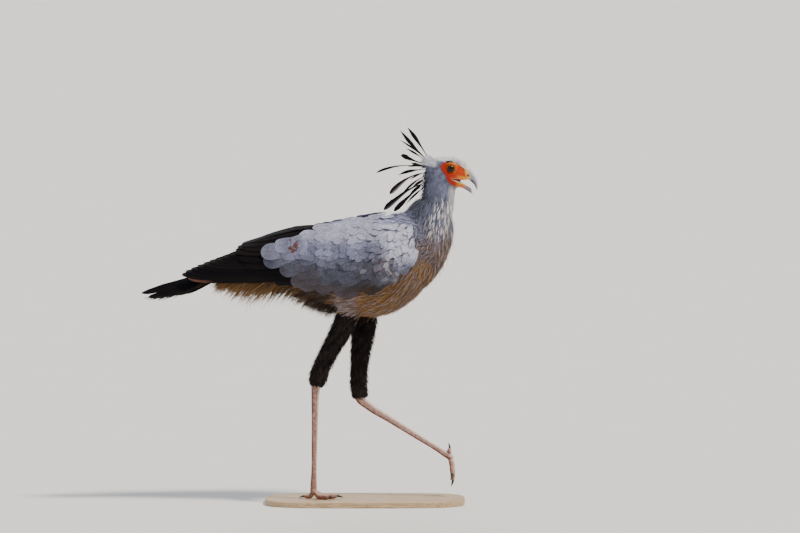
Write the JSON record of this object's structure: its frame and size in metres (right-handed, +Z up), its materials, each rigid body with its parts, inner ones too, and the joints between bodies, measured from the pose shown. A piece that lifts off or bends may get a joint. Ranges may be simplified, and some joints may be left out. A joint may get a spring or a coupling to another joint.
{
  "type": "secretary bird",
  "caption": "Life-size secretary bird caught mid stride with crest spread and bill open, on a flat oval display base; still model, no joints.",
  "frame": {"origin": "centre of the display base's underside, on the floor", "axes": "+X the way the bird faces, +Y its left side, +Z up; the whole height is the longest extent and the base's underside faces -Z"},
  "size_m": [0.9765, 0.27, 1.0954],
  "materials": {
    "head_plumage": "pale blue-grey feathers with black crest vanes and bare orange face skin",
    "neck_plumage": "loose pale grey neck feathers, tawny towards the breast",
    "body_plumage": "grey mantle feathers, tawny brown belly",
    "wing_plumage": "pale grey coverts over black flight feathers",
    "tail_plumage": "black tail vanes with pale worn edges",
    "thigh_plumage": "short black feathers",
    "leg_skin": "scaled pinkish leg skin",
    "claw_horn": "dark blunt horn",
    "bill_horn": "blue-grey horn with a yellow cere",
    "eye_globe": "wet dark brown eye",
    "base_wood": "pale smooth wood"
  },
  "bodies": {
    "root": {"head": "head_plumage", "neck": "neck_plumage", "torso": "body_plumage", "wing_right": "wing_plumage", "wing_left": "wing_plumage", "tail": "tail_plumage", "thigh_right": "thigh_plumage", "thigh_left": "thigh_plumage", "shank_right": "leg_skin", "shank_left": "leg_skin", "foot_right": "leg_skin", "foot_left": "leg_skin", "claw_right_middle": "claw_horn", "claw_right_inner": "claw_horn", "claw_right_outer": "claw_horn", "claw_right_hind": "claw_horn", "claw_left_middle": "claw_horn", "claw_left_inner": "claw_horn", "claw_left_outer": "claw_horn", "claw_left_hind": "claw_horn", "bill_upper": "bill_horn", "bill_lower": "bill_horn", "eye_right": "eye_globe", "eye_left": "eye_globe", "stand_base": "base_wood"}
  },
  "joints": []
}
